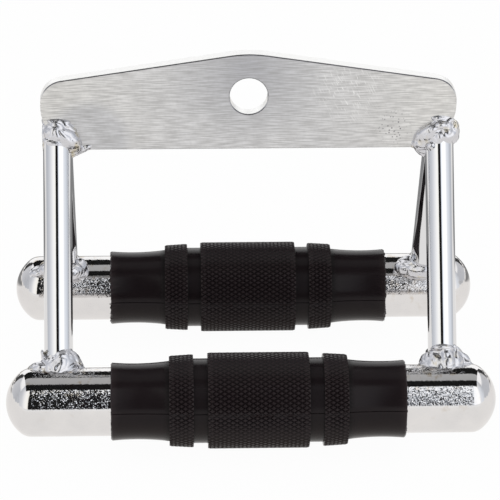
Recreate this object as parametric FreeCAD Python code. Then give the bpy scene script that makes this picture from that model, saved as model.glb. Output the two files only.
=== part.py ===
"""Close-grip double D-handle for a cable machine: two solid bars with rubber grips,
four round rods that lean together, and a holed top plate, all joined by hand-laid welds.

Frame in millimetres: X runs along the bars, Y from the front bar (minus) to the rear bar (plus),
Z up. The origin is on the floor under the middle of the handle, which stands on its two grips.
"""
import FreeCAD, Part
import math
import os
from FreeCAD import Vector

# Solid bars, with a shallow turned dome on each end
bar_diameter = 28.6
bar_length = 204.0
bar_spacing = 109.5
bar_dome_height = 8.4
bar_shoulder_radius = 7.0

# Rubber grips: a smooth tail, a ring and a groove on each side of a wide centre band.
# Every wall is the rubber's thickness over the grip's bore.
grip_bore_clearance = 0.1
grip_centre_wall = 5.6
grip_centre_width = 42.0
grip_ring_wall = 5.0
grip_ring_width = 10.0
grip_ring_fall = 0.6
grip_groove_wall = 3.2
grip_groove_width = 6.0
grip_shoulder_wall = 2.3
grip_waist_wall = 1.4
grip_waist_share = 0.33
grip_tail_wall = 1.8
grip_end_to_rod = 19.0
grip_edge_break = 0.5
front_grip_shift = 2.8
rear_grip_shift = 1.6

# Diamonds moulded into the centre band and the rings. The pitch, along the grip and round it, is
# rounded to whole diamonds. It takes in several of the real knurl's fine ones.
knurl_pitch = 8.4
knurl_depth = 0.6

# Round rods between the bars and the plate
rod_diameter = 12.0
rod_inset = 22.0
rod_overlap = 1.0

# Top plate, cut from flat stock with a low peak
plate_thickness = 6.0
plate_side_margin = 0.75
plate_above_bars = 91.7
plate_low_corner_radius = 19.0
plate_side_straight = 2.1
plate_top_corner_radius = 10.0
plate_peak_rise = 13.1
plate_peak_radius = 50.0
plate_edge_break = 0.4
hole_diameter = 16.0
hole_wall_above = 11.2

# Weld at the foot of a rod: how far it runs out on the bar and up the rod, and its top lip
bar_weld_leg = 4.6
bar_weld_height = 7.5
bar_weld_lip = 0.4

# Weld at the head of a rod: how far it runs past the rod inward, outward, above and below,
# and how far it stands out of the plate
plate_weld_reach = 7.6
plate_weld_lip = 0.6
plate_weld_above = 1.8
plate_weld_below = 5.6
plate_weld_depth = 7.4

# Lobes that the separate puddles leave in a weld, with their depth and their drift from level to
# level as shares, and the facets that shape each lobe
weld_lobes = 5
weld_facets_per_lobe = 6
weld_lobe_share = 0.05
weld_drift_share = 0.035

# Bar weld from the bar's crest up: (share of its height, share of its leg)
bar_weld_shares = ((0.0, 0.92), (0.28, 0.58), (0.62, 0.24), (1.0, 0.0))

# Plate weld from the plate outward: (share of its depth, share of its size, share of its slip to the rod)
plate_weld_shares = ((0.3, 0.96, 0.1), (0.65, 0.78, 0.4), (0.9, 0.5, 0.8), (1.0, 0.22, 1.0))

# Turn of the lobes at each corner, as a share of a full turn, because no two welds match
weld_turn_shares = {"front_left": 0.04, "front_right": 0.13, "rear_left": 0.09, "rear_right": 0.17}

# Length by which every cutting body runs past what it cuts
overrun = 5.0

# Derived places
bar_radius = bar_diameter / 2
rod_radius = rod_diameter / 2
grip_bore_radius = bar_radius + grip_bore_clearance
bar_z = grip_bore_radius + grip_centre_wall
rod_x = bar_length / 2 - rod_inset
plate_half = plate_thickness / 2
plate_half_width = rod_x + rod_radius + plate_side_margin
plate_slope = math.atan(plate_peak_rise / plate_half_width)
plate_top_corner_height = plate_top_corner_radius * math.tan((math.pi / 2 - plate_slope) / 2)
plate_bottom_z = bar_z + plate_above_bars
plate_end_z = plate_bottom_z + plate_low_corner_radius + plate_side_straight + plate_top_corner_height
plate_peak_z = plate_end_z + plate_peak_rise
hole_z = plate_peak_z - hole_wall_above - hole_diameter / 2
rod_aim_z = plate_bottom_z + rod_overlap

sides = {"left": -1, "right": 1}
rows = {"front": -1, "rear": 1}


def line(start, end):
    """Straight edge between two points."""
    return Part.LineSegment(start, end).toShape()


def arc(start, middle, end):
    """Circular edge through three points."""
    return Part.Arc(start, middle, end).toShape()


def revolve_about_x(edges):
    """Solid of revolution about the X axis from the edges of a closed outline."""
    outline = Part.Wire(Part.__sortEdges__(edges))
    return Part.Face(outline).revolve(Vector(0, 0, 0), Vector(1, 0, 0), 360)


def rounded_outline(corners):
    """Closed wire in the XZ plane from (x, z, radius) corners, each rounded by a tangent arc."""
    arcs = []
    for index, (x, z, radius) in enumerate(corners):
        corner = Vector(x, 0, z)
        before = Vector(corners[index - 1][0], 0, corners[index - 1][1]) - corner
        after_x, after_z, _ = corners[(index + 1) % len(corners)]
        after = Vector(after_x, 0, after_z) - corner
        before.normalize()
        after.normalize()
        half_angle = before.getAngle(after) / 2
        tangent = radius / math.tan(half_angle)
        bisector = before + after
        bisector.normalize()
        middle = corner + bisector * (radius / math.sin(half_angle) - radius)
        arcs.append((corner + before * tangent, middle, corner + after * tangent))
    edges = []
    for index, (start, middle, end) in enumerate(arcs):
        edges.append(line(arcs[index - 1][2], start))
        edges.append(arc(start, middle, end))
    return Part.Wire(edges)


def faceted_solid(facets):
    """Closed solid from the corner points of its plane facets."""
    shell = Part.makeShell([Part.Face(Part.makePolygon(points + points[:1])) for points in facets])
    solid = Part.makeSolid(shell)
    if solid.Volume < 0:
        solid.reverse()
    return solid


def solid_bar(row):
    """Round bar with a dome turned on each end, and a rounded shoulder between dome and barrel."""
    tip = bar_length / 2
    dome_radius = (bar_dome_height**2 + bar_radius**2) / (2 * bar_dome_height)
    dome_x = tip - dome_radius
    blend_r = bar_radius - bar_shoulder_radius
    blend_reach = dome_radius - bar_shoulder_radius
    blend_angle = math.asin(blend_r / blend_reach)
    blend_x = dome_x + blend_reach * math.cos(blend_angle)
    half_cap = blend_angle / 2
    half_blend = (blend_angle + math.pi / 2) / 2
    ends = []
    for s in sides.values():
        cap_middle_x = dome_x + dome_radius * math.cos(half_cap)
        cap_edge_x = dome_x + dome_radius * math.cos(blend_angle)
        blend_middle_x = blend_x + bar_shoulder_radius * math.cos(half_blend)
        blend_middle_r = blend_r + bar_shoulder_radius * math.sin(half_blend)
        crown = Vector(s * tip, 0, 0)
        cap_middle = Vector(s * cap_middle_x, 0, dome_radius * math.sin(half_cap))
        cap_edge = Vector(s * cap_edge_x, 0, dome_radius * math.sin(blend_angle))
        blend_middle = Vector(s * blend_middle_x, 0, blend_middle_r)
        barrel_edge = Vector(s * blend_x, 0, bar_radius)
        ends += [arc(crown, cap_middle, cap_edge), arc(cap_edge, blend_middle, barrel_edge)]
    barrel = line(Vector(-blend_x, 0, bar_radius), Vector(blend_x, 0, bar_radius))
    axis = line(Vector(-tip, 0, 0), Vector(tip, 0, 0))
    bar = revolve_about_x(ends + [barrel, axis])
    bar.translate(Vector(0, rows[row] * bar_spacing / 2, bar_z))
    return bar


def knurled_band(start_x, end_x, start_r, end_r):
    """Disc for a band of the grip, with a low peak in the middle of every diamond round its rim."""
    half_columns = 2 * max(1, round((end_x - start_x) / knurl_pitch))
    half_rows = 2 * round(math.pi * (start_r + end_r) / knurl_pitch)
    rings = []
    for column in range(half_columns + 1):
        share = column / half_columns
        crest_r = start_r + share * (end_r - start_r)
        peak_r = crest_r - grip_edge_break / 2 if column in (0, half_columns) else crest_r
        ring = []
        for row in range(half_rows):
            radius = peak_r if (column + row) % 2 else crest_r - knurl_depth
            angle = 2 * math.pi * row / half_rows
            x = start_x + share * (end_x - start_x)
            ring.append(Vector(x, radius * math.sin(angle), -radius * math.cos(angle)))
        rings.append(ring)
    facets = [rings[0], rings[-1]]
    for column in range(half_columns):
        near, far = rings[column], rings[column + 1]
        for row in range(half_rows):
            corners = [near[row - 1], near[row], far[row], far[row - 1]]
            if (column + row) % 2:
                corners = corners[1:] + corners[:1]
            facets += [[corners[0], corners[1], corners[3]], [corners[1], corners[2], corners[3]]]
    return faceted_solid(facets)


def rubber_grip(row):
    """Moulded sleeve pushed over the bar, a little off the middle as each one was pushed on."""
    band_x = grip_centre_width / 2
    groove_x = band_x + grip_groove_width
    ring_x = groove_x + grip_ring_width
    ring_middle_x = (groove_x + ring_x) / 2
    end_x = rod_x - grip_end_to_rod
    waist_x = end_x - grip_waist_share * (end_x - ring_x)
    tail_r = grip_bore_radius + grip_tail_wall
    waist_r = grip_bore_radius + grip_waist_wall
    shoulder_r = grip_bore_radius + grip_shoulder_wall
    ring_r = grip_bore_radius + grip_ring_wall
    ring_low_r = ring_r - grip_ring_fall
    groove_r = grip_bore_radius + grip_groove_wall
    band_r = grip_bore_radius + grip_centre_wall
    edges = []
    for s in sides.values():
        end_face = [
            Vector(s * end_x, 0, 0),
            Vector(s * end_x, 0, tail_r - grip_edge_break),
            Vector(s * (end_x - grip_edge_break), 0, tail_r),
        ]
        shoulder = [
            Vector(s * ring_x, 0, shoulder_r),
            Vector(s * ring_middle_x, 0, shoulder_r),
            Vector(s * ring_middle_x, 0, groove_r),
        ]
        edges += [line(a, b) for points in (end_face, shoulder) for a, b in zip(points, points[1:])]
        edges.append(arc(end_face[-1], Vector(s * waist_x, 0, waist_r), shoulder[0]))
    edges.append(line(Vector(-ring_middle_x, 0, groove_r), Vector(ring_middle_x, 0, groove_r)))
    edges.append(line(Vector(-end_x, 0, 0), Vector(end_x, 0, 0)))
    bands = [
        knurled_band(-ring_x, -groove_x, ring_low_r, ring_r),
        knurled_band(-band_x, band_x, band_r, band_r),
        knurled_band(groove_x, ring_x, ring_r, ring_low_r),
    ]
    bore_start = Vector(-end_x - overrun, 0, 0)
    bore = Part.makeCylinder(grip_bore_radius, 2 * (end_x + overrun), bore_start, Vector(1, 0, 0))
    grip = revolve_about_x(edges).fuse(bands).cut(bore)
    shift = {"front": front_grip_shift, "rear": rear_grip_shift}[row]
    grip.translate(Vector(shift, rows[row] * bar_spacing / 2, bar_z))
    return grip


def top_plate():
    """Flat plate with a low peak, rounded corners, a hole for the cable clip and broken edges."""
    half = plate_half_width
    outline = rounded_outline([
        (-half, plate_bottom_z, plate_low_corner_radius),
        (half, plate_bottom_z, plate_low_corner_radius),
        (half, plate_end_z, plate_top_corner_radius),
        (0, plate_peak_z, plate_peak_radius),
        (-half, plate_end_z, plate_top_corner_radius),
    ])
    outline.translate(Vector(0, -plate_half, 0))
    plate = Part.Face(outline).extrude(Vector(0, plate_thickness, 0))
    hole_start = Vector(0, -plate_half - overrun, hole_z)
    hole_depth = plate_thickness + 2 * overrun
    hole = Part.makeCylinder(hole_diameter / 2, hole_depth, hole_start, Vector(0, 1, 0))
    plate = plate.cut(hole)
    rims = [edge for edge in plate.Edges if edge.BoundBox.YLength < plate_half]
    return plate.makeChamfer(plate_edge_break, rims)


def rod_line(row, side):
    """Foot of a rod on its bar's axis, and the direction from there to the plate's face."""
    x = sides[side] * rod_x
    foot = Vector(x, rows[row] * bar_spacing / 2, bar_z)
    aim = Vector(x, rows[row] * plate_half, rod_aim_z)
    direction = aim - foot
    direction.normalize()
    return foot, direction


def row_half(row):
    """Box that holds everything on one row's side of the middle plane."""
    reach_y = bar_spacing / 2 + bar_diameter
    start_y = min(0, rows[row] * reach_y)
    return Part.makeBox(bar_length, reach_y, plate_peak_z, Vector(-bar_length / 2, start_y, 0))


def round_rod(row, side, bar, plate):
    """Rod coped over the bar, notched over the plate's corner and mitred to its opposite rod."""
    foot, direction = rod_line(row, side)
    length = plate_above_bars / direction.z + rod_diameter + overrun
    rod = Part.makeCylinder(rod_radius, length, foot, direction)
    return rod.common(row_half(row)).cut(plate).cut(bar)


def lobed_ring(centre, across, along, turn_share):
    """Points round an ellipse whose radius swells once for each weld puddle."""
    count = weld_lobes * weld_facets_per_lobe
    points = []
    for index in range(count):
        angle = 2 * math.pi * (index / count + turn_share)
        swell = 1 + weld_lobe_share * math.cos(2 * math.pi * index / weld_facets_per_lobe)
        points.append(centre + across * (swell * math.cos(angle)) + along * (swell * math.sin(angle)))
    return points


def mound(rings):
    """Closed solid of plane facets through rings of points, from its root to its top."""
    facets = []
    for low, high in zip(rings, rings[1:]):
        for index, corner in enumerate(low):
            following = low[index - 1]
            above = high[index]
            facets.append([corner, following, above])
            facets.append([following, high[index - 1], above])
    return faceted_solid(facets + [rings[0], rings[-1]])


def bar_weld(row, side, bar, rod):
    """Weld round the rod's foot, seated in the bar's curve and sloping up to the rod."""
    foot, direction = rod_line(row, side)
    across = Vector(1, 0, 0)
    along = direction.cross(across)
    turn_share = weld_turn_shares[row + "_" + side]
    top_radius = rod_radius + bar_weld_lip
    root_radius = top_radius + bar_weld_leg
    root_height = math.sqrt(bar_radius**2 - (root_radius * (1 + weld_lobe_share))**2)
    levels = [(root_height, root_radius)]
    for height_share, leg_share in bar_weld_shares:
        levels.append((bar_radius + height_share * bar_weld_height, top_radius + leg_share * bar_weld_leg))
    rings = [
        lobed_ring(foot + direction * height, across * radius, along * radius, turn_share + level * weld_drift_share)
        for level, (height, radius) in enumerate(levels)
    ]
    return mound(rings).cut(bar).cut(rod)


def plate_weld(row, side, plate, rod):
    """Weld that caps the rod's head, spreads inward on the plate and wraps its lower edge."""
    _, direction = rod_line(row, side)
    head_top_z = rod_aim_z + rod_radius / abs(direction.y)
    inner_x = rod_x - rod_radius - plate_weld_reach
    outer_x = rod_x + rod_radius + plate_weld_lip
    low_z = plate_bottom_z - plate_weld_below
    high_z = head_top_z + plate_weld_above
    half_wide = (outer_x - inner_x) / 2
    half_tall = (high_z - low_z) / 2
    root = Vector(sides[side] * (inner_x + half_wide), 0, low_z + half_tall)
    slip = Vector(sides[side] * (rod_x - inner_x - half_wide), 0, 0)
    outward = Vector(0, rows[row], 0)
    across = Vector(half_wide, 0, 0)
    along = Vector(0, 0, half_tall)
    turn_share = weld_turn_shares[row + "_" + side]
    rings = [lobed_ring(root, across, along, turn_share)]
    for level, (depth_share, size_share, slip_share) in enumerate(plate_weld_shares):
        centre = root + outward * (plate_half + depth_share * plate_weld_depth) + slip * slip_share
        drift = turn_share + level * weld_drift_share
        rings.append(lobed_ring(centre, across * size_share, along * size_share, drift))
    return mound(rings).cut(plate).cut(rod)


def build():
    """All sub-parts by node name."""
    nodes = {"top_plate": top_plate()}
    plate = nodes["top_plate"]
    for row in rows:
        bar = solid_bar(row)
        nodes[row + "_bar"] = bar
        nodes[row + "_grip"] = rubber_grip(row)
        for side in sides:
            corner = row + "_" + side
            rod = round_rod(row, side, bar, plate)
            nodes[corner + "_rod"] = rod
            nodes[corner + "_bar_weld"] = bar_weld(row, side, bar, rod)
            nodes[corner + "_plate_weld"] = plate_weld(row, side, plate, rod)
    return nodes


os.makedirs("parts", exist_ok=True)
for name, shape in build().items():
    shape.exportStep("parts/" + name + ".step")
    print(name, "solids", len(shape.Solids), "valid", shape.isValid(), "volume", round(shape.Volume, 1))
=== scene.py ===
"""A close-grip double D-handle for a cable machine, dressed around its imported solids.

The file follows the handle as it is put together: the two bars, the rubber grips pushed over
them, the rods, the top plate, the welds that join them, then the floor, the light and the camera.
Every object is in metres, in the frame of the solids: X along the bars, -Y to the front, Z up.
"""
import math

import bmesh
import bpy
import numpy as np
from mathutils import Matrix, Vector, noise


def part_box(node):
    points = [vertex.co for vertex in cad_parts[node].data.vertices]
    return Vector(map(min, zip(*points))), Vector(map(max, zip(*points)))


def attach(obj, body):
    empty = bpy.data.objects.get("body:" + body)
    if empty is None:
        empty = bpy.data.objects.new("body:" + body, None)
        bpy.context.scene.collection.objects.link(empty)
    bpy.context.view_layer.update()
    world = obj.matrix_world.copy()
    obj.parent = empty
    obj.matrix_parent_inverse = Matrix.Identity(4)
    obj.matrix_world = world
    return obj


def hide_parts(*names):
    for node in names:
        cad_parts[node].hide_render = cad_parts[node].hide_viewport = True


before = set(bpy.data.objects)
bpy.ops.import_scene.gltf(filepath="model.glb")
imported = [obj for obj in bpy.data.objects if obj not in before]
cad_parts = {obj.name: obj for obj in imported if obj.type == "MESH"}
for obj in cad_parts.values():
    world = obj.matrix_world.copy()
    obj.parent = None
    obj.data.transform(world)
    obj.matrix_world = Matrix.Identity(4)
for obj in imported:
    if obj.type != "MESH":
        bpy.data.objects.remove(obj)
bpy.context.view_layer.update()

# The two bars: round mild steel, turned to a low dome on each end and bright chrome plated.
# The stock was plated as it came from the mill, so the chrome follows its fine rolled skin all
# along the barrel, while the turned domes are smooth and keep only faint tool rings.

MM = 0.001


def linear(code, alpha=1.0):
    """Linear colour from an sRGB hex code."""
    shares = [int(code[i:i + 2], 16) / 255 for i in (1, 3, 5)]
    return [s / 12.92 if s <= 0.04045 else ((s + 0.055) / 1.055) ** 2.4 for s in shares] + [alpha]


def add(tree, kind, inputs=None, **settings):
    """Adds a node to a tree with its settings, and links or sets its inputs."""
    made = tree.nodes.new(kind)
    for name, value in settings.items():
        setattr(made, name, value)
    for socket, value in (inputs or {}).items():
        if isinstance(value, bpy.types.NodeSocket):
            tree.links.new(value, made.inputs[socket])
        else:
            made.inputs[socket].default_value = value
    return made


def material(name):
    """Empty node material, with its tree and its output."""
    made = bpy.data.materials.new(name)
    made.use_nodes = True
    made.node_tree.nodes.clear()
    return made, made.node_tree, made.node_tree.nodes.new("ShaderNodeOutputMaterial")


bar_axis_y, bar_axis_z = 54.75 * MM, 20 * MM
bar_barrel_half = 92.0 * MM
bar_shoulder_run = 1.5 * MM
skin_pitch = 0.3 * MM
skin_stretch = 0.8
skin_lean_along, skin_lean_round = 0.42, 0.06
tool_ring_pitch = 0.9 * MM
tool_ring_depth = 0.004 * MM
stained_foot = (80 * MM, 52 * MM, 33 * MM)
stain_reach, stain_core, stain_strength = 24 * MM, 12 * MM, 0.6


def closeness(tree, place, spot, far, near, most=1.0):
    """How close a place is to a spot: nothing beyond far, rising to the most within near of it."""
    away = add(tree, "ShaderNodeVectorMath", {0: place, 1: spot}, operation="DISTANCE")
    close = add(tree, "ShaderNodeMapRange", {
        "Value": away.outputs["Value"], "From Min": far, "From Max": near, "To Max": most})
    return close.outputs[0]


# Bright chrome over rolled stock: each grain of the skin leans its own way along the bar, most of
# them a little and a few a lot, so the mirror breaks into specks there, and bands that run along
# the bar stay clean. The 0.3 mm grains are coarser than the real 0.2 mm, so that they show.
# Welding left straw stains close to the rod feet.
chromed_stock, tree, output = material("bright_chrome_over_rolled_stock")
place = add(tree, "ShaderNodeTexCoord").outputs["Object"]
parts = add(tree, "ShaderNodeSeparateXYZ", {"Vector": place})
along_bar = add(tree, "ShaderNodeMath", {0: parts.outputs["X"]}, operation="ABSOLUTE")
on_barrel = add(tree, "ShaderNodeMapRange", {
    "Value": along_bar.outputs[0],
    "From Min": bar_barrel_half, "From Max": bar_barrel_half - bar_shoulder_run})
off_plane = add(tree, "ShaderNodeMath", {0: parts.outputs["Y"]}, operation="ABSOLUTE")
off_axis_y = add(tree, "ShaderNodeMath", {0: off_plane.outputs[0], 1: bar_axis_y}, operation="SUBTRACT")
off_axis_z = add(tree, "ShaderNodeMath", {0: parts.outputs["Z"], 1: bar_axis_z}, operation="SUBTRACT")
off_axis = add(tree, "ShaderNodeCombineXYZ", {"X": off_axis_y.outputs[0], "Y": off_axis_z.outputs[0]})
from_axis = add(tree, "ShaderNodeVectorMath", {0: off_axis.outputs[0]}, operation="LENGTH")
turns = add(tree, "ShaderNodeMath", {
    0: from_axis.outputs["Value"], 1: 2 * math.pi / tool_ring_pitch}, operation="MULTIPLY")
rings = add(tree, "ShaderNodeMath", {0: turns.outputs[0]}, operation="SINE")
off_barrel = add(tree, "ShaderNodeMath", {0: 1.0, 1: on_barrel.outputs[0]}, operation="SUBTRACT")
ring_height = add(tree, "ShaderNodeMath", {
    0: rings.outputs[0], 1: off_barrel.outputs[0]}, operation="MULTIPLY")
ringed = add(tree, "ShaderNodeBump", {
    "Height": ring_height.outputs[0], "Strength": 1.0, "Distance": tool_ring_depth})
rolled = add(tree, "ShaderNodeVectorMath", {
    0: place, 1: (1, skin_stretch, skin_stretch)}, operation="MULTIPLY")
skin = add(tree, "ShaderNodeTexVoronoi", {"Vector": rolled.outputs[0], "Scale": 1 / skin_pitch})
lean = add(tree, "ShaderNodeVectorMath", {0: skin.outputs["Color"], 1: (0.5, 0.5, 0.5)}, operation="SUBTRACT")
lean_size = add(tree, "ShaderNodeVectorMath", {0: lean.outputs[0]}, operation="ABSOLUTE")
lean = add(tree, "ShaderNodeVectorMath", {0: lean.outputs[0], 1: lean_size.outputs[0]}, operation="MULTIPLY")
lean = add(tree, "ShaderNodeVectorMath", {
    0: lean.outputs[0], 1: (skin_lean_along, skin_lean_round, skin_lean_round)}, operation="MULTIPLY")
lean = add(tree, "ShaderNodeVectorMath", {
    0: lean.outputs[0], "Scale": on_barrel.outputs[0]}, operation="SCALE")
lean = add(tree, "ShaderNodeVectorMath", {0: ringed.outputs["Normal"], 1: lean.outputs[0]}, operation="ADD")
lean = add(tree, "ShaderNodeVectorMath", {0: lean.outputs[0]}, operation="NORMALIZE")
wiped = add(tree, "ShaderNodeTexNoise", {"Vector": place, "Scale": 1 / (9 * MM), "Detail": 3.0})
gloss = add(tree, "ShaderNodeMapRange", {
    "Value": wiped.outputs["Fac"], "From Min": 0.3, "From Max": 0.7, "To Min": 0.04, "To Max": 0.08})
corner = add(tree, "ShaderNodeCombineXYZ", {
    "X": along_bar.outputs[0], "Y": off_plane.outputs[0], "Z": parts.outputs["Z"]})
near_foot = closeness(tree, corner.outputs[0], stained_foot, stain_reach, stain_core, stain_strength)
blotches = add(tree, "ShaderNodeTexNoise", {"Vector": place, "Scale": 1 / (4 * MM), "Detail": 3.0})
patches = add(tree, "ShaderNodeMapRange", {
    "Value": blotches.outputs["Fac"], "From Min": 0.58, "From Max": 0.7})
stained = add(tree, "ShaderNodeMath", {0: near_foot, 1: patches.outputs[0]}, operation="MULTIPLY")
clean = add(tree, "ShaderNodeMix", {
    "Factor": wiped.outputs["Fac"], 6: linear("#EAE8E7"), 7: linear("#DAD9DA")}, data_type="RGBA")
tint = add(tree, "ShaderNodeMix", {
    "Factor": stained.outputs[0], 6: clean.outputs[2], 7: linear("#B39C74")}, data_type="RGBA")
shader = add(tree, "ShaderNodeBsdfPrincipled", {
    "Base Color": tint.outputs[2], "Metallic": 1.0, "Roughness": gloss.outputs[0], "Normal": lean.outputs[0]})
tree.links.new(shader.outputs[0], output.inputs["Surface"])

for row in ("front", "rear"):
    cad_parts[row + "_bar"].material_slots[0].material = chromed_stock

# The rubber grips: black sleeves moulded in a two-part mould and pushed over the bars. A wide band
# and two rings stand up from each, with a diamond knurl moulded in. The mould leaves a fine parting
# line along both sides and a little torn flash, and the ends are trimmed by hand.

grip_radii = {"bore": 14.4, "band": 20.0, "ring": 19.4, "ring_out": 18.8, "groove": 17.6,
              "shoulder": 16.7, "waist": 15.8, "tail": 16.2}
band_half, groove_out, ring_out_x, waist_x, grip_half = 21.0, 27.0, 37.0, 53.1, 61.0
end_break, groove_corner = 0.5, 0.6
tail_rings = 10
knurl_rows = 60
band_half_columns, ring_half_columns = 25, 6
knurl_depth, knurl_land = 0.5, 0.52
knurl_crown, knurl_edge_drop, knurl_line_drop = 0.05, 0.22, 0.2
parting_width, parting_depth = 0.2, 0.24
tears_round, tear_rise = 11, 0.3
rim_share, bore_share = 0.6, 0.5
flash_width, flash_step, flash_base, flash_waves = 0.5, 0.25, 0.6, 1.4
facet_angle = 30


def tail_radius(x):
    """Outer radius of a smooth tail, on a curve through the shoulder, the waist and the end."""
    marks = [(ring_out_x, grip_radii["shoulder"]), (waist_x, grip_radii["waist"]),
             (grip_half - end_break, grip_radii["tail"])]
    total = 0
    for mark, value in marks:
        for other, _ in marks:
            if other != mark:
                value *= (x - other) / (mark - other)
        total += value
    return total


def rubber_grip(row, parting_angle, ragged, flashes):
    """Whole grip as one closed mesh, its knurl cut as real diamonds, with fins of torn flash.

    Each flash is where it starts and ends along the grip, the radius it stands on and its height.
    """
    points, faces, facets = [], [], []
    low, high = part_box(row + "_grip")
    middle = (low + high) / 2
    half_step = math.pi / knurl_rows

    def put(x, radius, angle):
        points.append(middle + Vector((x, -radius * math.cos(angle), radius * math.sin(angle))) * MM)
        return len(points) - 1

    def face(corners, facet):
        faces.append(corners)
        facets.append(facet)

    def smooth_ring(x, radius, jag=0.0):
        """Ring of points with the parting line as a fine groove on both sides, and its main points."""
        ring, mains = [], []
        for step in range(2 * knurl_rows):
            angle = parting_angle + step * half_step
            tear_spot = Vector((x, math.cos(angle) * tears_round, math.sin(angle) * tears_round))
            torn = jag * noise.noise(tear_spot)
            torn_x = x + math.copysign(torn, x)
            torn_radius = radius + tear_rise * torn
            if step % knurl_rows == 0:
                lean_angle = parting_width / radius
                ring.append(put(torn_x, torn_radius, angle - lean_angle))
                mains.append(len(ring))
                ring.append(put(torn_x, torn_radius - parting_depth, angle))
                ring.append(put(torn_x, torn_radius, angle + lean_angle))
            else:
                mains.append(len(ring))
                ring.append(put(torn_x, torn_radius, angle))
        return ring, mains

    def join(first, second):
        for index in range(len(first)):
            face((first[index - 1], first[index], second[index], second[index - 1]), False)

    def band(start, end, start_radius, end_radius, columns):
        """Knurled band: every diamond has a flat land and four sloping sides."""
        width = (end - start) / columns
        grid, rims = {}, {}

        def crest(column):
            return start_radius + (end_radius - start_radius) * column / columns

        for column in range(columns + 1):
            edge_drop = knurl_edge_drop if column in (0, columns) else 0
            for step in range(2 * knurl_rows):
                line_drop = knurl_line_drop if step % knurl_rows == 0 else 0
                is_land = (column + step) % 2
                drop = edge_drop + line_drop if is_land else knurl_depth
                grid[column, step] = put(
                    start + column * width, crest(column) - drop, parting_angle + step * half_step)
        for column in range(columns + 1):
            for step in range(2 * knurl_rows):
                if (column + step) % 2 == 0:
                    continue
                land = []
                for over, up in ((1, 0), (0, 1), (-1, 0), (0, -1)):
                    if not 0 <= column + over <= columns:
                        continue
                    edge_drop = knurl_edge_drop if column in (0, columns) and over == 0 else 0
                    line_drop = knurl_line_drop if step % knurl_rows == 0 else 0
                    corner = put(
                        start + (column + over * knurl_land) * width,
                        crest(column) - knurl_crown - edge_drop - line_drop,
                        parting_angle + (step + up * knurl_land) * half_step)
                    land.append((corner, grid[column + over, (step + up) % (2 * knurl_rows)]))
                peak = grid[column, step]
                if len(land) == 4:
                    land.append(land[0])
                else:
                    land = land if column else land[-1:] + land[:-1]
                    rims[column, step] = (land[0], peak, land[-1])
                for (near, near_root), (far, far_root) in zip(land, land[1:]):
                    face((peak, near, far), True)
                    face((near, near_root, far_root, far), True)
        return grid, rims

    def wall(smooth, grid, rims, column):
        """Side of a band, from a smooth ring up to the diamonds that it cuts."""
        ring, mains = smooth
        for step in range(2 * knurl_rows):
            if (column, step) not in rims:
                continue
            below, above = (step - 1) % (2 * knurl_rows), (step + 1) % (2 * knurl_rows)
            first, peak, last = rims[column, step]
            if first[1] != grid[column, below]:
                first, last = last, first
            start, end = mains[below], mains[above]
            foot = ring[start:end + 1] if start < end else ring[start:] + ring[:end + 1]
            top = [grid[column, below], first[0], peak, last[0], grid[column, above]]
            face(tuple(top + foot[::-1]), True)

    ends = []
    for side in (-1, 1):
        tail = [smooth_ring(side * grip_half, grip_radii["tail"] - end_break, ragged),
                smooth_ring(side * (grip_half - end_break), grip_radii["tail"], ragged * rim_share)]
        for index in range(1, tail_rings + 1):
            x = grip_half - end_break - index * (grip_half - end_break - ring_out_x) / tail_rings
            tail.append(smooth_ring(side * x, tail_radius(x)))
        for first, second in zip(tail, tail[1:]):
            join(first[0], second[0])
        span = [(-ring_out_x, grip_radii["ring_out"]), (-groove_out, grip_radii["ring"])]
        if side > 0:
            span = [(-x, radius) for x, radius in reversed(span)]
        (start, start_radius), (end, end_radius) = span
        grid, rims = band(start, end, start_radius, end_radius, ring_half_columns)
        outer, inner = (0, ring_half_columns) if side < 0 else (ring_half_columns, 0)
        wall(tail[-1], grid, rims, outer)
        groove = [smooth_ring(side * x, grip_radii["groove"]) for x in (
            groove_out, groove_out - groove_corner, band_half + groove_corner, band_half)]
        wall(groove[0], grid, rims, inner)
        for first, second in zip(groove, groove[1:]):
            join(first[0], second[0])
        bore = smooth_ring(side * grip_half, grip_radii["bore"], ragged * bore_share)
        join(tail[0][0], bore[0])
        ends.append((groove[-1], bore[0]))
    grid, rims = band(-band_half, band_half, grip_radii["band"], grip_radii["band"], band_half_columns)
    wall(ends[0][0], grid, rims, 0)
    wall(ends[1][0], grid, rims, band_half_columns)
    join(ends[0][1], ends[1][1])

    for start, end, radius, height in flashes:
        lean_angle = flash_width / radius / 2
        steps = round((end - start) / flash_step)
        fin = []
        for step in range(steps + 1):
            x = start + (end - start) * step / steps
            swell = math.sin(math.pi * step / steps) ** 0.5
            torn = height * swell * (flash_base + noise.noise(Vector((x * flash_waves, height, 0))))
            sunk = radius - knurl_depth
            fin.append([put(x, sunk, parting_angle - lean_angle), put(x, radius + torn, parting_angle),
                        put(x, sunk, parting_angle + lean_angle)])
        for first, second in zip(fin, fin[1:]):
            for side in range(3):
                face((first[side - 1], first[side], second[side], second[side - 1]), True)
        face(tuple(fin[0]), True)
        face(tuple(fin[-1]), True)

    mesh = bpy.data.meshes.new(row + "_knurled_grip")
    mesh.from_pydata(points, [], faces)
    for polygon, facet in zip(mesh.polygons, facets):
        polygon.use_smooth = not facet
    tidy = bmesh.new()
    tidy.from_mesh(mesh)
    bmesh.ops.recalc_face_normals(tidy, faces=tidy.faces)
    tidy.to_mesh(mesh)
    tidy.free()
    mesh.set_sharp_from_angle(angle=math.radians(facet_angle))
    grip = bpy.data.objects.new(row + "_knurled_grip", mesh)
    bpy.context.scene.collection.objects.link(grip)
    return grip


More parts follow.
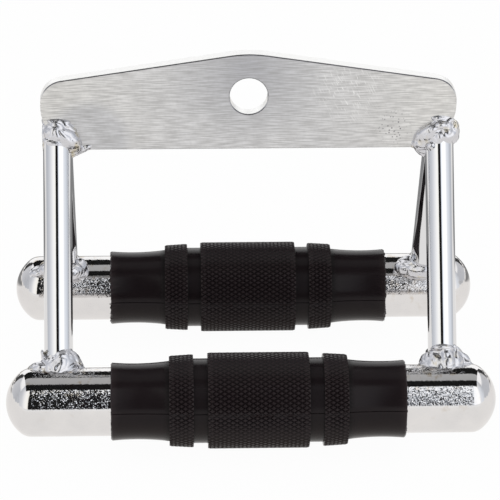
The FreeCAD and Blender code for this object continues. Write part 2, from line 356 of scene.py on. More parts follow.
# Moulded black rubber: almost black, with a soft broad sheen, a grey bloom in patches, a fine
# mould grain and a painted brownish cast low down, for the light that the floor throws up. The
# lands of the knurl are paler, and its roots are painted near black as shade and left dull. The
# 0.5 mm grain is coarser than the real one, so that it shows.
rubber, tree, output = material("moulded_black_rubber")
place = add(tree, "ShaderNodeTexCoord").outputs["Object"]
grain = add(tree, "ShaderNodeTexNoise", {"Vector": place, "Scale": 1 / (0.5 * MM), "Detail": 3.0})
bloom = add(tree, "ShaderNodeTexNoise", {"Vector": place, "Scale": 1 / (14 * MM), "Detail": 4.0})
height = add(tree, "ShaderNodeSeparateXYZ", {"Vector": place}).outputs["Z"]
# painted light: a brownish cast low on each grip, where the floor's light reaches it
floor_lit_low = add(tree, "ShaderNodeMapRange", {"Value": height, "From Min": 20 * MM, "From Max": 6 * MM})
tone = add(tree, "ShaderNodeMix", {
    "Factor": bloom.outputs["Fac"], 6: linear("#1A1416"), 7: linear("#231D1F")}, data_type="RGBA")
tone = add(tree, "ShaderNodeMix", {
    "Factor": floor_lit_low.outputs[0], 6: tone.outputs[2], 7: linear("#261C19")}, data_type="RGBA")
raised = add(tree, "ShaderNodeNewGeometry").outputs["Pointiness"]
paler_lands = add(tree, "ShaderNodeMapRange", {"Value": raised, "From Min": 0.51, "From Max": 0.6})
tone = add(tree, "ShaderNodeMix", {
    "Factor": paler_lands.outputs[0], 6: tone.outputs[2], 7: linear("#352D2E")}, data_type="RGBA")
# painted shade: the knurl's roots go near black, where the lands around them shade them
root = add(tree, "ShaderNodeMapRange", {"Value": raised, "From Min": 0.49, "From Max": 0.4})
tone = add(tree, "ShaderNodeMix", {
    "Factor": root.outputs[0], 6: tone.outputs[2], 7: linear("#080706")}, data_type="RGBA")
sheen = add(tree, "ShaderNodeMapRange", {
    "Value": bloom.outputs["Fac"], "From Min": 0.3, "From Max": 0.7, "To Min": 0.16, "To Max": 0.24})
sheen = add(tree, "ShaderNodeMix", {"Factor": root.outputs[0], "A": sheen.outputs[0], "B": 0.7})
bump = add(tree, "ShaderNodeBump", {"Height": grain.outputs["Fac"], "Strength": 1.0, "Distance": 0.012 * MM})
shader = add(tree, "ShaderNodeBsdfPrincipled", {
    "Base Color": tone.outputs[2], "Roughness": sheen.outputs[0], "Normal": bump.outputs["Normal"],
    "IOR": 1.5, "Specular IOR Level": 0.14})
tree.links.new(shader.outputs[0], output.inputs["Surface"])

front_flashes = [(-3.5, 6.0, 20.0, 0.8), (-29.6, -27.4, 19.4, 0.4), (11.0, 15.0, 20.0, 0.2)]
rear_flashes = [(-12.0, -7.0, 20.0, 0.25), (14.0, 19.5, 20.0, 0.3)]

# Each grip: how many degrees its parting line lies above the front, how ragged its ends are, its flashes
grips = (("front", 8.5, 0.5, front_flashes), ("rear", 0.3, 1.3, rear_flashes))
for row, parting_turn, ragged, flashes in grips:
    grip = rubber_grip(row, math.radians(parting_turn), ragged, flashes)
    grip.data.materials.append(rubber)
    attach(grip, "root")
    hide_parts(row + "_grip")

# The four rods: 12 mm drawn steel rod, coped over the bars at the foot and notched over the plate
# at the head. They were polished before they were chromed, so they mirror the studio in stripes.

# Polished chrome on drawn rod: a clean mirror with faint draw lines along it and a few pin pits. The
# 0.8 mm lines are coarser than real ones, so that they show.
chromed_rod, tree, output = material("polished_chrome_on_drawn_rod")
place = add(tree, "ShaderNodeTexCoord").outputs["Object"]
drawn = add(tree, "ShaderNodeVectorMath", {0: place, 1: (1, 0.3, 0.04)}, operation="MULTIPLY")
lines = add(tree, "ShaderNodeTexNoise", {"Vector": drawn.outputs[0], "Scale": 1 / (0.8 * MM), "Detail": 2.0})
pits = add(tree, "ShaderNodeTexVoronoi", {"Vector": place, "Scale": 1 / (3.4 * MM)})
pitted = add(tree, "ShaderNodeMapRange", {
    "Value": pits.outputs["Distance"], "From Min": 0.05, "From Max": 0.09})
relief = add(tree, "ShaderNodeMath", {0: lines.outputs["Fac"], 1: pitted.outputs[0]}, operation="ADD")
bump = add(tree, "ShaderNodeBump", {"Height": relief.outputs[0], "Strength": 1.0, "Distance": 0.0035 * MM})
wiped = add(tree, "ShaderNodeTexNoise", {"Vector": place, "Scale": 1 / (12 * MM), "Detail": 3.0})
gloss = add(tree, "ShaderNodeMapRange", {
    "Value": wiped.outputs["Fac"], "From Min": 0.3, "From Max": 0.7, "To Min": 0.015, "To Max": 0.05})
tint = add(tree, "ShaderNodeMix", {
    "Factor": wiped.outputs["Fac"], 6: linear("#E2E3E6"), 7: linear("#E6E6E7")}, data_type="RGBA")
shader = add(tree, "ShaderNodeBsdfPrincipled", {
    "Base Color": tint.outputs[2], "Metallic": 1.0, "Roughness": gloss.outputs[0],
    "Normal": bump.outputs["Normal"]})
tree.links.new(shader.outputs[0], output.inputs["Surface"])

for corner in ("front_left", "front_right", "rear_left", "rear_right"):
    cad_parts[corner + "_rod"].material_slots[0].material = chromed_rod

# The top plate: 6 mm flat steel, sheared to a low peak, drilled for the cable clip, brushed along
# its length and plated thinly to a satin grey. Bench work left it with scratches and pin pits.

plate_face_y = -3 * MM
brush_pitch, brush_stretch = 0.42 * MM, 0.06
scratch_spot, scratch_turn = (42 * MM, plate_face_y, 138 * MM), -64
pit_spot = (61 * MM, plate_face_y, 121 * MM)
above_hole = (0, plate_face_y, 146 * MM)
left_weld_patch = (-67 * MM, plate_face_y, 116 * MM)

# Satin plate over brushed steel: a soft grey metal whose grain runs along the plate, paler to the
# ends, darker and cooler above the hole and in a patch beside the left weld, with short slanting
# scratches right of the hole and pits beyond and below them. The sheared edges and the hole's wall
# are pale, and the broken arris above each face is dark. The 0.42 mm grain is coarser than the real
# 0.2 mm, and so are the scratches, so that they show.
brushed, tree, output = material("satin_plate_over_brushed_steel")
place = add(tree, "ShaderNodeTexCoord").outputs["Object"]
parts = add(tree, "ShaderNodeSeparateXYZ", {"Vector": place})
grained = add(tree, "ShaderNodeVectorMath", {0: place, 1: (brush_stretch, 1, 1)}, operation="MULTIPLY")
grain = add(tree, "ShaderNodeTexNoise", {
    "Vector": grained.outputs[0], "Scale": 1 / brush_pitch, "Detail": 0.0})
mottle = add(tree, "ShaderNodeTexNoise", {"Vector": place, "Scale": 1 / (1.6 * MM), "Detail": 4.0})
clouds = add(tree, "ShaderNodeTexNoise", {"Vector": place, "Scale": 1 / (22 * MM), "Detail": 3.0})
turned = add(tree, "ShaderNodeVectorRotate", {
    "Vector": place, "Axis": (0, 1, 0), "Angle": math.radians(scratch_turn)}, rotation_type="AXIS_ANGLE")
stretched = add(tree, "ShaderNodeVectorMath", {0: turned.outputs[0], 1: (0.11, 1, 1)}, operation="MULTIPLY")
scratches = add(tree, "ShaderNodeTexNoise", {
    "Vector": stretched.outputs[0], "Scale": 1 / (0.5 * MM), "Detail": 1.0, "Distortion": 0.4})
scratched = add(tree, "ShaderNodeMapRange", {
    "Value": scratches.outputs["Fac"], "From Min": 0.59, "From Max": 0.68})
near_scratches = closeness(tree, place, scratch_spot, 18 * MM, 6 * MM)
scratched = add(tree, "ShaderNodeMath", {0: scratched.outputs[0], 1: near_scratches}, operation="MULTIPLY")
dots = add(tree, "ShaderNodeTexVoronoi", {"Vector": place, "Scale": 1 / (1.3 * MM)})
pitted = add(tree, "ShaderNodeMapRange", {
    "Value": dots.outputs["Distance"], "From Min": 0.3, "From Max": 0.15})
near_pits = closeness(tree, place, pit_spot, 9 * MM, 3 * MM)
pitted = add(tree, "ShaderNodeMath", {0: pitted.outputs[0], 1: near_pits}, operation="MULTIPLY")
off_middle = add(tree, "ShaderNodeMath", {0: parts.outputs["X"]}, operation="ABSOLUTE")
outward = add(tree, "ShaderNodeMapRange", {
    "Value": off_middle.outputs[0], "From Min": 28 * MM, "From Max": 80 * MM})
tone = add(tree, "ShaderNodeMix", {
    "Factor": outward.outputs[0], 6: linear("#ECECEE"), 7: linear("#F6F5F3")}, data_type="RGBA")
tone = add(tree, "ShaderNodeMix", {
    "Factor": closeness(tree, place, above_hole, 34 * MM, 4 * MM, 0.8),
    6: tone.outputs[2], 7: linear("#BCBDC4")}, data_type="RGBA")
tone = add(tree, "ShaderNodeMix", {
    "Factor": closeness(tree, place, left_weld_patch, 19 * MM, 14 * MM, 0.4),
    6: tone.outputs[2], 7: linear("#BABDC8")}, data_type="RGBA")
streaks = add(tree, "ShaderNodeMapRange", {
    "Value": grain.outputs["Fac"], "From Min": 0.3, "From Max": 0.7, "To Min": 0.1, "To Max": 0.5})
tone = add(tree, "ShaderNodeMix", {
    "Factor": streaks.outputs[0], 6: tone.outputs[2], 7: linear("#8F8E8C")}, data_type="RGBA")
spots = add(tree, "ShaderNodeMapRange", {
    "Value": mottle.outputs["Fac"], "From Min": 0.42, "From Max": 0.75, "To Max": 0.16})
tone = add(tree, "ShaderNodeMix", {
    "Factor": spots.outputs[0], 6: tone.outputs[2], 7: linear("#9A9A9C")}, data_type="RGBA")
tone = add(tree, "ShaderNodeMix", {
    "Factor": pitted.outputs[0], 6: tone.outputs[2], 7: linear("#7A787D")}, data_type="RGBA")
tone = add(tree, "ShaderNodeMix", {
    "Factor": scratched.outputs[0], 6: tone.outputs[2], 7: linear("#F2F2F2")}, data_type="RGBA")
normal = add(tree, "ShaderNodeNewGeometry").outputs["Normal"]
turned_to = add(tree, "ShaderNodeSeparateXYZ", {"Vector": normal})
facing = add(tree, "ShaderNodeMath", {0: turned_to.outputs["Y"]}, operation="ABSOLUTE")
on_edge = add(tree, "ShaderNodeMapRange", {"Value": facing.outputs[0], "From Min": 0.5, "From Max": 0.2})
tone = add(tree, "ShaderNodeMix", {
    "Factor": on_edge.outputs[0], 6: tone.outputs[2], 7: linear("#F3F3F2")}, data_type="RGBA")
on_break = add(tree, "ShaderNodeMapRange", {"Value": facing.outputs[0], "From Min": 0.9, "From Max": 0.8})
upward = add(tree, "ShaderNodeMapRange", {"Value": turned_to.outputs["Z"], "From Min": 0.3, "From Max": 0.5})
arris = add(tree, "ShaderNodeMath", {0: on_break.outputs[0], 1: upward.outputs[0]}, operation="MULTIPLY")
arris = add(tree, "ShaderNodeMath", {
    0: arris.outputs[0], 1: on_edge.outputs[0]}, operation="SUBTRACT", use_clamp=True)
tone = add(tree, "ShaderNodeMix", {
    "Factor": arris.outputs[0], 6: tone.outputs[2], 7: linear("#77767A")}, data_type="RGBA")
satin = add(tree, "ShaderNodeMapRange", {
    "Value": clouds.outputs["Fac"], "From Min": 0.3, "From Max": 0.7, "To Min": 0.3, "To Max": 0.38})
satin = add(tree, "ShaderNodeMix", {"Factor": on_edge.outputs[0], "A": satin.outputs[0], "B": 0.28})
relief = add(tree, "ShaderNodeMath", {0: grain.outputs["Fac"], 1: mottle.outputs["Fac"]}, operation="ADD")
bump = add(tree, "ShaderNodeBump", {"Height": relief.outputs[0], "Strength": 1.0, "Distance": 0.01 * MM})
shader = add(tree, "ShaderNodeBsdfPrincipled", {
    "Base Color": tone.outputs[2], "Metallic": 1.0, "Roughness": satin.outputs[0],
    "Normal": bump.outputs["Normal"]})
tree.links.new(shader.outputs[0], output.inputs["Surface"])
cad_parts["top_plate"].material_slots[0].material = brushed

# The welds: puddles of filler steel laid by hand round the foot and the head of each rod, left as
# they froze and chromed with the rest. Each has its own lumps and creases, and no two are alike.

rod_radius, bar_radius = 6.0, 14.3
plate_thickness, plate_corner_radius, plate_edge_from_rod = 6.0, 19.0, 6.75
rod_lean, rod_drop = 51.75, 92.7
rod_run = np.array((0, rod_lean, -rod_drop)) / math.hypot(rod_lean, rod_drop)
rod_on_plate = np.array((0, 0, 1.0))
rod_on_bar = np.array((0, 6.95, -12.5))
weld_cell, weld_swell = 0.3, 0.35
puddle_blend, toe_blend, toe_sink, toe_fade = 0.4, 0.9, 0.15, 0.8
settle_rounds, settle_step, buried_depth = 10, 0.3, 0.35
crumple_pitch, crumple_depth, lump_pitch, lump_depth = 3.1, 0.34, 5.0, 0.45
crease_rest, crease_gain = 0.3, 1.6
ripple_pitch, ripple_depth = 1.1, 0.02
drift_step = (7.3, 3.1, 5.7)
plate_flank = 6.1

# Chrome over weld puddles: a mirror on crumpled metal, so bright and dark facets lie side by side,
# dulled unevenly by a fine grain and faintly straw in patches where the steel was hottest. The
# 0.8 mm grain is coarser than the real one, so that it shows.
plated_weld, tree, output = material("chrome_over_weld_puddles")
place = add(tree, "ShaderNodeTexCoord").outputs["Object"]
grain = add(tree, "ShaderNodeTexNoise", {"Vector": place, "Scale": 1 / (0.8 * MM), "Detail": 3.0})
heat = add(tree, "ShaderNodeTexNoise", {"Vector": place, "Scale": 1 / (5 * MM), "Detail": 2.0})
bump = add(tree, "ShaderNodeBump", {"Height": grain.outputs["Fac"], "Strength": 1.0, "Distance": 0.028 * MM})
straw = add(tree, "ShaderNodeMapRange", {"Value": heat.outputs["Fac"], "From Min": 0.56, "From Max": 0.72})
tint = add(tree, "ShaderNodeMix", {
    "Factor": straw.outputs[0], 6: linear("#D6D6DA"), 7: linear("#CFC6B0")}, data_type="RGBA")
gloss = add(tree, "ShaderNodeMapRange", {
    "Value": grain.outputs["Fac"], "From Min": 0.3, "From Max": 0.7, "To Min": 0.14, "To Max": 0.28})
shader = add(tree, "ShaderNodeBsdfPrincipled", {
    "Base Color": tint.outputs[2], "Metallic": 1.0, "Roughness": gloss.outputs[0],
    "Normal": bump.outputs["Normal"]})
tree.links.new(shader.outputs[0], output.inputs["Surface"])


def blended(first, second, width):
    """Lower of two distances, with the inside corner between them rounded."""
    share = np.clip(0.5 + 0.5 * (second - first) / width, 0, 1)
    return second + (first - second) * share - width * share * (1 - share)


def from_rod(spots, on_axis):
    """Distance of each spot from a rod's surface."""
    away = spots - on_axis
    return np.linalg.norm(away - np.outer(away @ rod_run, rod_run), axis=1) - rod_radius


def from_bar(spots):
    """Distance of each spot from a bar's surface."""
    return np.hypot(spots[:, 1] - rod_on_bar[1], spots[:, 2] - rod_on_bar[2]) - bar_radius


def from_plate(spots):
    """Distance of each spot from the plate, with its rounded lower corner."""
    inside, above = spots[:, 0] + plate_edge_from_rod, spots[:, 2]
    in_corner = (inside < plate_corner_radius) & (above < plate_corner_radius)
    corner = np.hypot(plate_corner_radius - inside, plate_corner_radius - above) - plate_corner_radius
    outline = np.where(in_corner, corner, np.maximum(-inside, -above))
    return np.maximum(outline, np.maximum(spots[:, 1], -plate_thickness - spots[:, 1]))


def puddled_weld(name, puddles, origin, inward, outward, seed):
    """Closed mesh of a weld whose puddles flow into each other, the rod, and the bar or plate.

    A puddle is its middle and its half sizes in millimetres, inward along the bar, outward to the
    near side and up from the origin, and then its tilt, swing and turn in degrees.
    """
    turns = [Matrix.Rotation(math.radians(turn), 3, "Z") @ Matrix.Rotation(math.radians(tilt), 3, "Y")
             @ Matrix.Rotation(math.radians(swing), 3, "X") for _, _, (tilt, swing, turn) in puddles]
    on_plate = "_plate_" in name
    flank = plate_flank if on_plate and inward > 0 else math.inf

    def carriers(spots):
        rod = from_rod(spots, rod_on_plate if on_plate else rod_on_bar)
        return rod, from_plate(spots) if on_plate else from_bar(spots)

    def surface(spots):
        lowest = None
        for (middle, halves, _), turn in zip(puddles, turns):
            local = (spots - np.array(middle)) @ np.array(turn)
            scaled = np.linalg.norm(local / np.array(halves), axis=1)
            slope = np.linalg.norm(local / np.array(halves) ** 2, axis=1)
            distance = scaled * (scaled - 1) / np.maximum(slope, 0.001)
            lowest = distance if lowest is None else blended(lowest, distance, puddle_blend)
        for carrier in carriers(spots):
            lowest = blended(lowest, carrier + toe_sink, toe_blend)
        return np.maximum(lowest, -flank - spots[:, 0])

    def uphill(spots):
        reach = 0.05
        slopes = [surface(spots + step) - surface(spots - step) for step in np.eye(3) * reach]
        return np.stack(slopes, 1) / (2 * reach)

    blank = bmesh.new()
    for (middle, halves, _), turn in zip(puddles, turns):
        grown = [half + weld_swell for half in halves]
        spot = Matrix.Translation(middle) @ turn.to_4x4() @ Matrix.Diagonal((*grown, 1))
        bmesh.ops.create_icosphere(blank, subdivisions=4, radius=1, matrix=spot)
    mesh = bpy.data.meshes.new(name)
    blank.to_mesh(mesh)
    blank.free()
    weld = bpy.data.objects.new(name, mesh)
    bpy.context.scene.collection.objects.link(weld)
    fuse = weld.modifiers.new("fuse", "REMESH")
    fuse.mode = "VOXEL"
    fuse.voxel_size = weld_cell
    fused = bpy.data.meshes.new_from_object(weld.evaluated_get(bpy.context.evaluated_depsgraph_get()))
    weld.modifiers.clear()

    spots = np.empty(3 * len(fused.vertices))
    fused.vertices.foreach_get("co", spots)
    spots = spots.reshape(-1, 3)
    for _ in range(settle_rounds):
        slope = uphill(spots)
        steep = np.maximum((slope ** 2).sum(1), 0.25)
        move = (-surface(spots) / steep)[:, None] * slope
        length = np.maximum(np.linalg.norm(move, axis=1), 0.0001)
        move *= np.minimum(1, settle_step / length)[:, None]
        shown = np.minimum(*carriers(spots)) > -buried_depth
        spots = np.where(shown[:, None], spots + move, spots)
    slope = uphill(spots)
    facing = slope / np.maximum(np.linalg.norm(slope, axis=1), 0.01)[:, None]
    shown = np.clip(np.minimum(*carriers(spots)) / toe_fade, 0, 1)
    drift = Vector([seed * step for step in drift_step])
    rise = []
    for spot in spots:
        spot = Vector(spot)
        lump = lump_depth * noise.noise(spot / lump_pitch + drift)
        crease = crumple_depth * (crease_rest - abs(noise.noise(spot / crumple_pitch - drift)) * crease_gain)
        ripple = ripple_depth * noise.noise(spot / ripple_pitch + drift)
        rise.append(lump - crease + ripple)
    spots = spots + facing * (np.array(rise) * shown)[:, None]
    spots = (np.array(origin) + spots * (inward, outward, 1)) * MM
    fused.vertices.foreach_set("co", spots.ravel())
    if inward * outward < 0:
        fused.flip_normals()
    fused.name = name
    weld.data = fused
    for polygon in fused.polygons:
        polygon.use_smooth = True
    fused.materials.append(plated_weld)
    return weld


upright = (0, 0, 0)
left_head = [
    ((-0.8, 1.6, 8.8), (4.6, 2.4, 4.2), (0, 26, 12)),
    ((5.2, 1.9, 5.2), (6.8, 3.0, 3.6), (48, 8, -10)),
    ((-5.0, -1.6, 5.0), (3.4, 3.4, 5.8), (0, 8, 8)),
    ((0.8, 0.2, 12.9), (4.6, 0.9, 0.8), (4, 0, 0)),
    ((0.4, 0.8, 11.6), (3.4, 1.4, 1.6), (14, 54, 0)),
    ((4.0, 0.3, 10.8), (4.6, 1.3, 1.6), (32, 24, 0)),
    ((-0.4, 3.2, 4.8), (5.4, 1.6, 1.6), (10, 20, 0)),
    ((9.0, -1.6, -0.6), (6.8, 2.4, 1.8), (-25, 0, 0)),
]
right_head = [
    ((-3.6, 1.4, 7.0), (4.2, 2.6, 4.2), (0, 22, 28)),
    ((-6.0, -0.4, 7.0), (2.6, 3.0, 5.2), upright),
    ((-1.0, 1.2, 10.4), (4.4, 2.0, 2.2), (0, 56, 0)),
    ((-1.8, 0.1, 12.6), (5.2, 1.1, 1.3), (-8, 0, 0)),
    ((5.4, 1.2, 6.6), (6.4, 2.4, 3.2), (36, 12, -12)),
    ((1.6, 2.2, 6.6), (3.2, 1.9, 4.0), (30, 28, -20)),
    ((7.2, 0.6, 2.4), (4.6, 2.4, 2.8), (20, 0, -14)),
    ((3.6, 3.4, 2.2), (2.2, 2.2, 2.0), upright),
    ((6.6, -1.2, -1.6), (4.6, 2.6, 2.4), (-32, 0, 0)),
]
plate_puddles = {"front_left": left_head, "front_right": right_head,
                 "rear_left": right_head, "rear_right": left_head}
bar_puddles = {
    "front_left": [
        ((-3.0, 4.2, 1.8), (5.6, 2.6, 5.2), (-26, 31, 13)),
        ((2.4, 3.6, 3.2), (5.0, 2.7, 6.4), (16, 31, -14)),
        ((-8.4, 3.0, 1.0), (4.8, 3.1, 3.0), (-22, 24, 12)),
        ((-11.8, 2.6, -0.5), (3.2, 1.6, 0.9), (-12, 0, 0)),
        ((-6.3, 0.0, 4.6), (1.0, 2.4, 3.8), (-8, 0, 0)),
        ((7.2, -0.4, 3.6), (5.4, 2.4, 1.7), (56, 0, 0)),
        ((4.6, 4.4, -0.4), (5.0, 2.4, 2.2), (0, 30, -8)),
        ((0.0, -5.0, 2.2), (6.8, 4.0, 4.6), (0, -30, 0)),
    ],
    "front_right": [
        ((4.2, 3.6, 2.0), (5.6, 2.6, 5.6), (18, 34, -14)),
        ((-1.6, 4.2, 2.6), (3.6, 2.8, 6.8), (0, 30, 8)),
        ((-5.2, 2.8, 1.8), (3.4, 2.6, 5.2), (-20, 24, 26)),
        ((6.4, 0.2, 2.0), (4.6, 3.6, 2.6), (50, 0, -10)),
        ((0.4, 0.8, 7.2), (5.0, 3.0, 1.7), (0, 52, 0)),
        ((-8.8, -0.4, 3.4), (6.6, 1.3, 1.1), (-50, 0, 0)),
        ((-8.2, -0.4, 0.6), (4.4, 1.7, 2.2), (-40, 0, 0)),
        ((0.0, -5.0, 2.2), (6.8, 4.0, 4.6), (0, -30, 0)),
    ],
    "rear_left": [
        ((0.0, 3.9, 2.8), (6.8, 3.4, 5.6), (0, 42, 10)),
        ((6.2, -1.0, 1.8), (4.8, 4.8, 3.8), (30, 0, 0)),
        ((2.4, -5.4, 2.0), (6.2, 3.8, 4.6), (10, -34, 0)),
        ((-6.6, -1.0, 1.4), (5.2, 4.6, 3.2), (-16, 0, 0)),
        ((-11.2, -0.6, -0.4), (4.4, 3.2, 1.8), (-14, 0, 0)),
    ],
    "rear_right": [
        ((0.0, 3.9, 2.8), (6.8, 3.4, 5.6), (0, 42, -10)),
        ((7.6, -1.8, 1.4), (5.8, 5.4, 3.8), (26, 0, 0)),
        ((2.4, -5.6, 2.2), (7.0, 3.8, 5.0), (6, -36, 12)),
        ((-6.4, -0.6, 1.6), (4.8, 4.8, 3.8), (-24, 0, 0)),
    ],
}
rod_foot_on_bar = Vector((80.0, 47.8, 32.5))
rod_head_on_plate = Vector((80.0, 3.0, 111.7))
seed = 1
for row, outward in (("front", -1), ("rear", 1)):
    for side, inward in (("left", 1), ("right", -1)):
        corner = row + "_" + side
        for kind, puddles, spot in (("plate", plate_puddles, rod_head_on_plate),
                                    ("bar", bar_puddles, rod_foot_on_bar)):
            seed += 1
            origin = (-inward * spot.x, outward * spot.y, spot.z)
            weld = puddled_weld(
                corner + "_" + kind + "_puddles", puddles[corner], origin, inward, outward, seed)
            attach(weld, "root")
            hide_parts(corner + "_" + kind + "_weld")

# The floor: a sheet of white paper that the handle stands on, wide enough to fill the view. It shows
# white to the eye and keeps a faint shadow of the handle. In reflections alone it falls into shade
# close behind the handle, which gives the rods their dark edges.

floor_half = 3.0
shade_middle, shade_flatness = (0, 0.25, 0), (0.3, 1, 1)
shade_reach, shade_edge, shade_tone = 0.135, 0.15, 0.26
self_lit_share = 0.97


def ramped(tree, source, low, high, marks):
    """Colour or grey over a value, from (value, colour) marks in rising order."""
    scaled = add(tree, "ShaderNodeMapRange", {"Value": source, "From Min": low, "From Max": high})
    ramp = add(tree, "ShaderNodeValToRGB", {"Fac": scaled.outputs[0]})
    stops = ramp.color_ramp.elements
    while len(stops) < len(marks):
        stops.new(0.5)
    for stop, (value, colour) in zip(stops, marks):
        stop.position = (value - low) / (high - low)
        stop.color = colour if isinstance(colour, tuple) else (colour, colour, colour, 1)
    return ramp.outputs[0]


mesh = bpy.data.meshes.new("floor")
floor_corners = [(x * floor_half, y * floor_half, 0) for x, y in ((-1, -1), (1, -1), (1, 1), (-1, 1))]
mesh.from_pydata(floor_corners, [], [(0, 1, 2, 3)])
floor = bpy.data.objects.new("floor", mesh)
bpy.context.scene.collection.objects.link(floor)
paper, tree, output = material("white_backdrop_paper")
path = add(tree, "ShaderNodeLightPath")
place = add(tree, "ShaderNodeTexCoord").outputs["Object"]
spread = add(tree, "ShaderNodeVectorMath", {0: place, 1: shade_flatness}, operation="MULTIPLY")
from_shade = add(tree, "ShaderNodeVectorMath", {0: spread.outputs[0], 1: shade_middle}, operation="DISTANCE")
shade = ramped(tree, from_shade.outputs["Value"], 0.0, floor_half, [
    (0.0, shade_tone), (shade_reach, shade_tone), (shade_edge, (0.92, 0.9, 0.88, 1)),
    (0.6, (0.95, 0.94, 0.92, 1)), (1.6, 1.05), (floor_half, 1.05)])
matt = add(tree, "ShaderNodeBsdfDiffuse", {"Color": linear("#F4F4F4")})
lit = add(tree, "ShaderNodeEmission", {"Color": linear("#FFFFFF"), "Strength": 1.0})
shown = add(tree, "ShaderNodeMixShader", {0: self_lit_share, 1: matt.outputs[0], 2: lit.outputs[0]})
shaded = add(tree, "ShaderNodeEmission", {"Color": shade, "Strength": 1.0})
mirrored = add(tree, "ShaderNodeMath", {
    0: path.outputs["Is Glossy Ray"], 1: path.outputs["Is Transmission Ray"]}, operation="MAXIMUM")
other = add(tree, "ShaderNodeMixShader", {0: mirrored.outputs[0], 1: matt.outputs[0], 2: shaded.outputs[0]})
whole = add(tree, "ShaderNodeMixShader", {
    0: path.outputs["Is Camera Ray"], 1: other.outputs[0], 2: shown.outputs[0]})
tree.links.new(whole.outputs[0], output.inputs["Surface"])
mesh.materials.append(paper)

# The light: a plain white studio, even from all round, at which a colour renders about as written.
# Only reflections show what stands in it: white walls with the dark gap that the camera looks
# through, a grey panel between two dark ones overhead, and a low dark stand on each side behind.

gap_left, gap_right, gap_flank, gap_tone = -17, 4, 17, 0.012
panels_start, grey_start, grey_end, panels_end = 68, 89, 116.5, 146
panel_half_width = 0.45
stand_inner, stand_outer, stand_tone = 152, 140, 0.05
stand_top, stand_fade = 0.5, 0.1
wall_behind = 1.15
floor_line = 3.2

world = bpy.data.worlds.new("white_studio")
bpy.context.scene.world = world
world.use_nodes = True
tree = world.node_tree
tree.nodes.clear()
output = tree.nodes.new("ShaderNodeOutputWorld")
toward = add(tree, "ShaderNodeTexCoord").outputs["Generated"]
parts = add(tree, "ShaderNodeSeparateXYZ", {"Vector": toward})
frontward = add(tree, "ShaderNodeMath", {0: parts.outputs["Y"], 1: -1.0}, operation="MULTIPLY")
over = add(tree, "ShaderNodeMath", {0: parts.outputs["Z"], 1: frontward.outputs[0]}, operation="ARCTAN2")
over = add(tree, "ShaderNodeMath", {0: over.outputs[0]}, operation="DEGREES")
round_by = add(tree, "ShaderNodeMath", {0: parts.outputs["X"], 1: frontward.outputs[0]}, operation="ARCTAN2")
round_by = add(tree, "ShaderNodeMath", {0: round_by.outputs[0]}, operation="DEGREES")

# The walls, by degrees round from the front to the right: the left stand, the left wall, the gap,
# the right wall and the right stand
walls = ramped(tree, round_by.outputs[0], -180, 180, [
    (-180, wall_behind), (-stand_inner, wall_behind),
    (1 - stand_inner, stand_tone), (-stand_outer, stand_tone),
    (1 - stand_outer, (0.72, 0.73, 0.76, 1)), (-99, (0.56, 0.58, 0.62, 1)), (-75, (0.7, 0.72, 0.76, 1)),
    (-60, (0.88, 0.89, 0.92, 1)), (-48, 1.06), (-33, (1.2, 1.19, 1.16, 1)),
    (gap_left - 0.5, (1.14, 1.12, 1.05, 1)), (gap_left, gap_tone),
    (gap_right, gap_tone), (gap_right + 0.5, (0.1, 0.11, 0.13, 1)),
    (6, (0.5, 0.53, 0.58, 1)), (8, (0.98, 1.02, 1.08, 1)), (gap_flank, (1.25, 1.27, 1.3, 1)),
    (40, 1.35), (49, 1.3), (58, (0.96, 0.98, 1.02, 1)), (72, (0.84, 0.88, 0.94, 1)),
    (90, (0.6, 0.62, 0.66, 1)), (stand_outer - 1, (0.66, 0.67, 0.7, 1)),
    (stand_outer, stand_tone), (stand_inner, stand_tone),
    (stand_inner + 1, wall_behind), (180, wall_behind)])

# The panels, by degrees from the front over the top to the rear: dark, grey and dark again
panels = ramped(tree, over.outputs[0], 0, 180, [
    (0, 0.01), (grey_start, 0.01), (grey_start + 0.5, 0.44), (grey_end, 0.48), (grey_end + 0.5, 0.012),
    (180, 0.012)])
past_start = add(tree, "ShaderNodeMath", {0: over.outputs[0], 1: panels_start}, operation="GREATER_THAN")
before_end = add(tree, "ShaderNodeMath", {0: over.outputs[0], 1: panels_end}, operation="LESS_THAN")
out_along = add(tree, "ShaderNodeMath", {0: parts.outputs["X"]}, operation="ABSOLUTE")
on_panel = add(tree, "ShaderNodeMath", {0: out_along.outputs[0], 1: panel_half_width}, operation="LESS_THAN")
on_panel = add(tree, "ShaderNodeMath", {
    0: on_panel.outputs[0], 1: past_start.outputs[0]}, operation="MULTIPLY")
on_panel = add(tree, "ShaderNodeMath", {
    0: on_panel.outputs[0], 1: before_end.outputs[0]}, operation="MULTIPLY")
aloft = add(tree, "ShaderNodeMapRange", {
    "Value": parts.outputs["Z"], "From Min": stand_top, "From Max": stand_top + stand_fade})
in_front = add(tree, "ShaderNodeMath", {0: frontward.outputs[0], 1: 0.0}, operation="GREATER_THAN")
above_stands = add(tree, "ShaderNodeMath", {
    0: aloft.outputs[0], 1: in_front.outputs[0]}, operation="SUBTRACT", use_clamp=True)
room = add(tree, "ShaderNodeMix", {
    "Factor": above_stands.outputs[0], 6: walls,
    7: (wall_behind, wall_behind, wall_behind, 1)}, data_type="RGBA")
above_line = add(tree, "ShaderNodeMath", {0: over.outputs[0], 1: floor_line}, operation="GREATER_THAN")
low_front = add(tree, "ShaderNodeMath", {
    0: in_front.outputs[0], 1: above_line.outputs[0]}, operation="SUBTRACT", use_clamp=True)
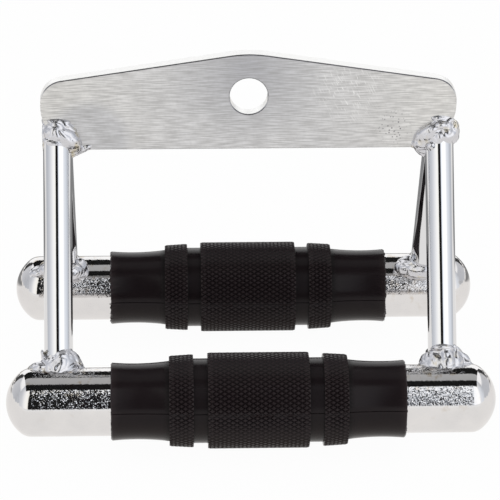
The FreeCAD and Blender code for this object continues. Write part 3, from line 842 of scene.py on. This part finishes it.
room = add(tree, "ShaderNodeMix", {
    "Factor": low_front.outputs[0], 6: room.outputs[2], 7: (0.92, 0.92, 0.92, 1)}, data_type="RGBA")
mirror = add(tree, "ShaderNodeMix", {
    "Factor": on_panel.outputs[0], 6: room.outputs[2], 7: panels}, data_type="RGBA")
path = add(tree, "ShaderNodeLightPath")
even = add(tree, "ShaderNodeBackground", {"Color": (0.8, 0.8, 0.8, 1), "Strength": 1.0})
white = add(tree, "ShaderNodeBackground", {"Color": (1, 1, 1, 1), "Strength": 1.0})
mirrored_room = add(tree, "ShaderNodeBackground", {"Color": mirror.outputs[2], "Strength": 1.0})
mirrored = add(tree, "ShaderNodeMath", {
    0: path.outputs["Is Glossy Ray"], 1: path.outputs["Is Transmission Ray"]}, operation="MAXIMUM")
lit = add(tree, "ShaderNodeMixShader", {
    0: mirrored.outputs[0], 1: even.outputs[0], 2: mirrored_room.outputs[0]})
whole = add(tree, "ShaderNodeMixShader", {
    0: path.outputs["Is Camera Ray"], 1: lit.outputs[0], 2: white.outputs[0]})
tree.links.new(whole.outputs[0], output.inputs["Surface"])

# The camera: a long lens 1.28 m away, 25 degrees above the floor and a little to the left, turned by
# a hair, so that the handle sits in the frame as it does in the photograph.

lens_in_frame_widths = 6.0
pitch, yaw, roll = math.radians(24.93), math.radians(-1.87), math.radians(0.29)
look = Vector((0.9, 0, 63.5)) * MM
distance = 1280.7 * MM
back = Vector((math.sin(yaw) * math.cos(pitch), -math.cos(yaw) * math.cos(pitch), math.sin(pitch)))
right = Vector((0, 0, 1)).cross(back).normalized()
up = back.cross(right)
right, up = right * math.cos(roll) + up * math.sin(roll), up * math.cos(roll) - right * math.sin(roll)
camera = bpy.data.objects.new("camera", bpy.data.cameras.new("camera"))
bpy.context.scene.collection.objects.link(camera)
facing = Matrix((right, up, back)).transposed().to_4x4()
camera.matrix_world = Matrix.Translation(look + back * distance) @ facing
camera.data.lens = camera.data.sensor_width * lens_in_frame_widths
bpy.context.scene.camera = camera
bpy.context.scene.view_settings.view_transform = "Standard"
